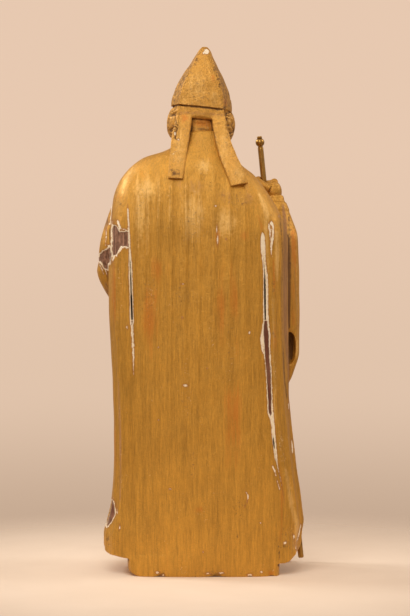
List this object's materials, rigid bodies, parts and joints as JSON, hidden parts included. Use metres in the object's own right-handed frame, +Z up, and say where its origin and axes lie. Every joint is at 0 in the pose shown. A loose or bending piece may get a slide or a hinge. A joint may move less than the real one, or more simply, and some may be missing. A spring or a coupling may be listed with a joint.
{
  "type": "wooden saint statue",
  "caption": "Standing bishop saint carved in wood and gilded, in mitre and long cope, with a book in the left hand and a loose metal staff in the right.",
  "frame": {"origin": "middle of the plinth's underside, on the surface that the statue stands on", "axes": "+Z up the figure, -Y the way the figure faces, +X to the figure's own left"},
  "size_m": [0.2492, 0.1708, 0.62],
  "materials": {
    "gilded_wood": "worn gilding and bronze paint over white gesso and red bole, on carved wood, with bare wood at the cracks and chips",
    "staff_brass": "dull brass with a dark brown patina"
  },
  "bodies": {
    "root": {"figure": "gilded_wood", "crozier_staff": "staff_brass"}
  },
  "joints": []
}
